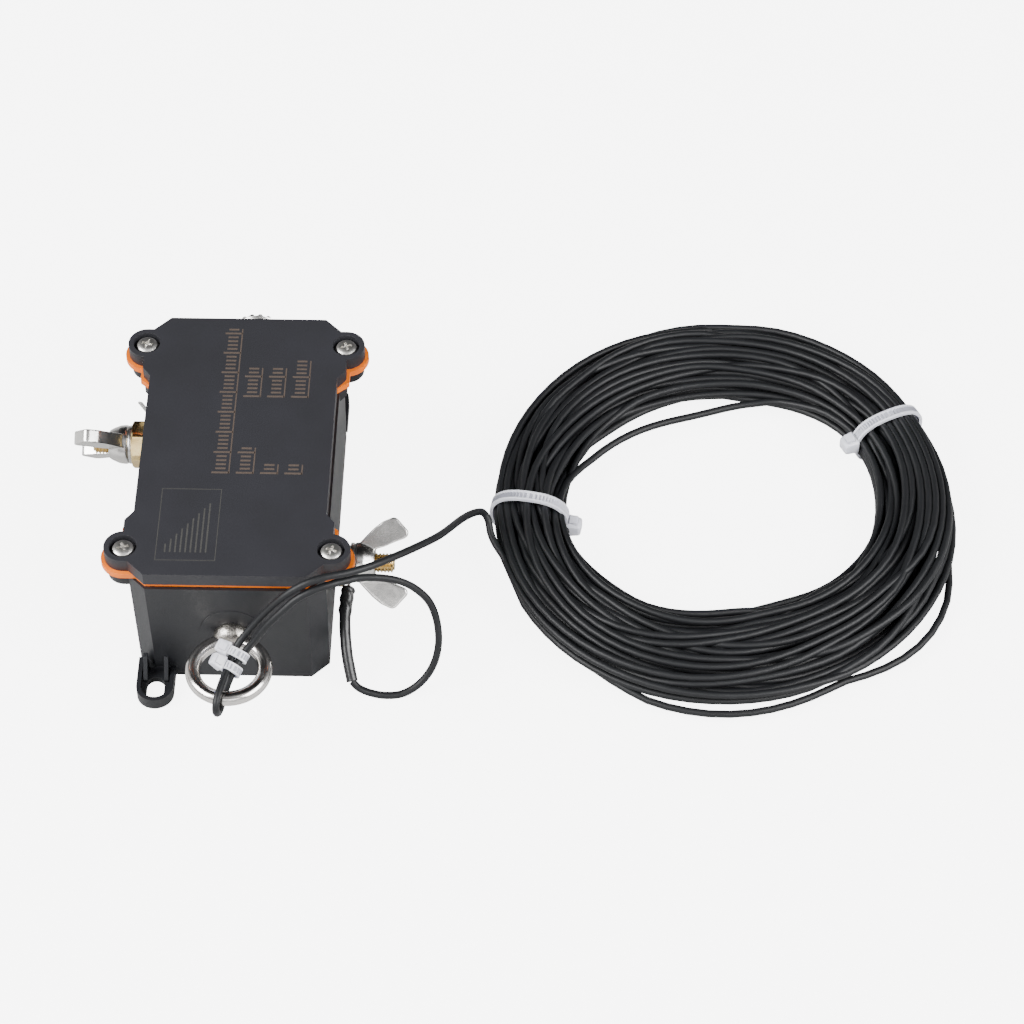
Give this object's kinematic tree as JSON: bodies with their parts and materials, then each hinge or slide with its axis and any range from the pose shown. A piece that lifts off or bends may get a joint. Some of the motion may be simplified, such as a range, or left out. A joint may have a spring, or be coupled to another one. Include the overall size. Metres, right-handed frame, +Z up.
{
  "type": "antenna tuner",
  "caption": "Sealed wire-antenna matching box with coax socket, wing-nut terminals, strain-relief eye bolt, ring-core transformer inside and a coil of antenna wire.",
  "frame": {"origin": "centre of the case's underside, on the surface it stands on", "axes": "+X towards the terminal that holds the antenna wire, -Y towards the eye bolt, +Y along the coax socket, +Z up through the lid"},
  "size_m": [0.2627, 0.1578, 0.0495],
  "materials": {
    "base_plastic": "fine texture",
    "lid_plastic": "fine texture",
    "gasket_rubber": "smooth, satin",
    "screw_steel": "bright",
    "plated_brass": "nickel plated, satin",
    "insulator": "satin",
    "brass": "turned",
    "wing_steel": "pressed stainless",
    "shrink_sleeve": "shrunk, satin",
    "foam": "closed-cell foam",
    "ferrite": "tumbled, matt",
    "copper": "enamelled copper wire",
    "capacitor_glaze": "dipped lacquer",
    "lead_red": "satin",
    "lead_black": "satin",
    "wire_sheath": "satin",
    "nylon": "moulded, slightly see-through"
  },
  "bodies": {
    "case": {"base_shell": "base_plastic", "gasket": "gasket_rubber", "coax_socket": "plated_brass", "socket_insulator": "insulator", "socket_contact": "brass", "socket_screws": "screw_steel", "socket_nuts": "plated_brass", "earth_tag": "plated_brass", "left_bolt": "brass", "right_bolt": "brass", "inner_washers": "plated_brass", "inner_tags": "plated_brass", "left_hex_nut": "brass", "right_hex_nut": "brass", "left_solder_tag": "plated_brass", "right_lug_washer": "plated_brass", "ring_lug": "plated_brass", "lug_sleeve": "shrink_sleeve", "eye_bolt": "wing_steel", "eye_nut": "wing_steel", "eye_washer": "wing_steel", "core_pad": "foam", "ferrite_core": "ferrite", "primary_winding": "copper", "secondary_winding": "copper", "capacitor": "capacitor_glaze", "lead_socket": "lead_red", "lead_earth": "lead_black", "lead_common": "lead_black", "lead_antenna": "lead_red", "wire_lead": "wire_sheath", "wire_coil": "wire_sheath", "ring_tie_a": "nylon", "ring_tie_b": "nylon", "coil_tie_left": "nylon", "coil_tie_right": "nylon"},
    "lid": {"lid": "lid_plastic", "lid_screws": "screw_steel"},
    "left_washer": {"left_washer": "plated_brass"},
    "left_wing_nut": {"left_wing_nut": "wing_steel"},
    "right_washer": {"right_washer": "plated_brass"},
    "right_wing_nut": {"right_wing_nut": "wing_steel"}
  },
  "joints": [
    {"name": "left_nut_travel", "type": "slide", "parent": "case", "child": "left_washer", "axis": [-1, 0, 0], "range_m": [0, 0.01]},
    {"name": "left_nut_turn", "type": "hinge", "parent": "left_washer", "child": "left_wing_nut", "pos_m": [-0.04, 0.022, 0.02], "axis": [-1, 0, 0], "range_deg": [0, 3600]},
    {"name": "right_nut_travel", "type": "slide", "parent": "case", "child": "right_washer", "axis": [1, 0, 0], "range_m": [0, 0.01]},
    {"name": "right_nut_turn", "type": "hinge", "parent": "right_washer", "child": "right_wing_nut", "pos_m": [0.04, -0.022, 0.02], "axis": [1, 0, 0], "range_deg": [0, 3600]},
    {"name": "lid_lift", "type": "slide", "parent": "case", "child": "lid", "axis": [0, 0, 1], "range_m": [0, 0.03]}
  ],
  "couplings": [
    {"joint": "left_nut_travel", "follows": "left_nut_turn", "m_per_rad": 0.00015915},
    {"joint": "right_nut_travel", "follows": "right_nut_turn", "m_per_rad": 0.00015915}
  ]
}
